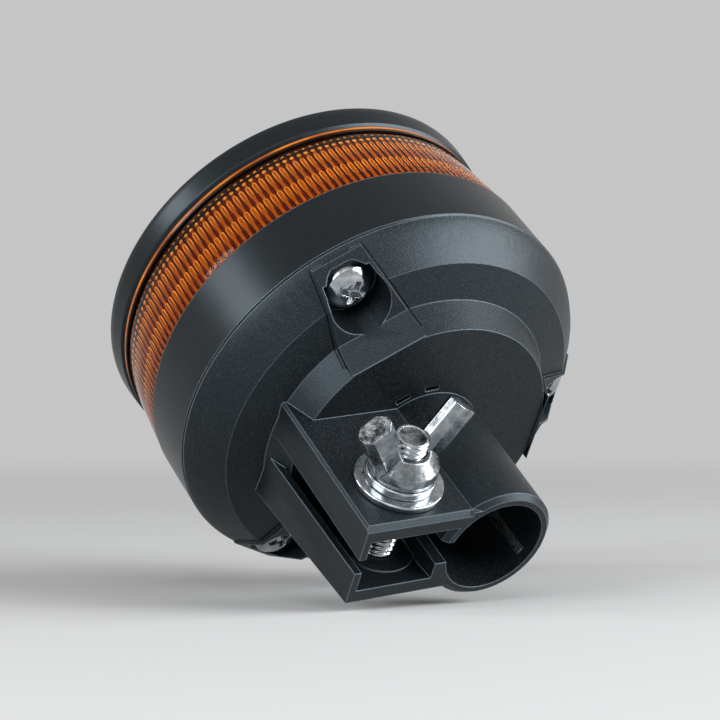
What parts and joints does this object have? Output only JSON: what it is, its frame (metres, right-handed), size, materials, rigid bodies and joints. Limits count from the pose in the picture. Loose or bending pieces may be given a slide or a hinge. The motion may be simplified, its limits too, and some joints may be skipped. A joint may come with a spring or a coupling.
{
  "type": "rotating beacon",
  "caption": "Low amber LED rotating-light warning beacon with a fluted lens, a black cap and a split clamp socket with wing nut for a beacon pole.",
  "frame": {"origin": "centre of the pole socket's open mouth", "axes": "+Z along the socket and the beacon's axis towards the cap, -X towards the clamp leaves, -Y towards the wing nut"},
  "size_m": [0.1042, 0.1042, 0.1024],
  "materials": {
    "housing_black": "fine spark-eroded grain",
    "lens_amber": "clear amber polycarbonate, polished",
    "optic_clear": "clear acrylic, polished",
    "zinc_steel": "bright zinc plate",
    "spring_steel": "plain drawn wire",
    "contact_brass": "turned, satin",
    "seal_rubber": "moulded, satin",
    "carrier_nylon": "natural nylon, satin",
    "board_green": "solder mask, satin",
    "board_white": "white solder mask on aluminium",
    "sink_aluminium": "as rolled",
    "pad_grey": "soft filled silicone",
    "component_black": "moulded epoxy",
    "capacitor_can": "drawn can",
    "led_ceramic": "white ceramic with a clear dome",
    "terminal_blue": "moulded nylon",
    "lead_red": "extruded insulation",
    "lead_brown": "extruded insulation"
  },
  "bodies": {
    "housing": {"mount_base": "housing_black", "body_ring": "housing_black", "top_cap": "housing_black", "lens": "lens_amber", "optic_ring": "optic_clear", "base_gasket": "seal_rubber", "lens_seal": "seal_rubber", "cap_seal": "seal_rubber", "base_screws": "zinc_steel", "clamp_bolt": "zinc_steel", "contact_carrier": "carrier_nylon", "plunger_spring": "spring_steel", "plunger_terminal": "contact_brass", "earth_contact": "spring_steel", "carrier_screws": "zinc_steel", "supply_lead": "lead_red", "earth_lead": "lead_brown", "driver_board": "board_green", "inlet_terminal": "terminal_blue", "storage_capacitor_1": "capacitor_can", "storage_capacitor_2": "capacitor_can", "power_inductor": "component_black", "driver_chip_1": "component_black", "driver_chip_2": "component_black", "driver_chip_3": "component_black", "protection_diode": "component_black", "board_header": "component_black", "board_screws": "zinc_steel", "heat_sink": "sink_aluminium", "thermal_pad": "pad_grey", "light_board": "board_white", "module_screws": "zinc_steel", "led_1": "led_ceramic", "led_2": "led_ceramic", "led_3": "led_ceramic", "led_4": "led_ceramic", "led_5": "led_ceramic", "led_6": "led_ceramic", "led_7": "led_ceramic", "led_8": "led_ceramic", "led_9": "led_ceramic", "led_10": "led_ceramic", "led_11": "led_ceramic", "led_12": "led_ceramic"},
    "clamp_washers": {"flat_washer": "zinc_steel", "spring_washer": "zinc_steel"},
    "wing_nut": {"wing_nut": "zinc_steel"},
    "plunger": {"contact_plunger": "contact_brass"}
  },
  "joints": [
    {"name": "wing_nut_turn", "type": "hinge", "parent": "clamp_washers", "child": "wing_nut", "pos_m": [-0.022, 0, 0.0128], "axis": [0, -1, 0], "range_deg": [0, 1080]},
    {"name": "washer_travel", "type": "slide", "parent": "housing", "child": "clamp_washers", "axis": [0, -1, 0], "range_m": [0, 0.00374]},
    {"name": "plunger_press", "type": "slide", "parent": "housing", "child": "plunger", "axis": [0, 0, 1], "range_m": [0, 0.003], "stiffness_N_per_m": 700, "springref_m": -0.002, "deforming": ["plunger_spring"]}
  ],
  "couplings": [
    {"joint": "wing_nut_turn", "follows": "washer_travel", "rad_per_m": 5026.5}
  ]
}
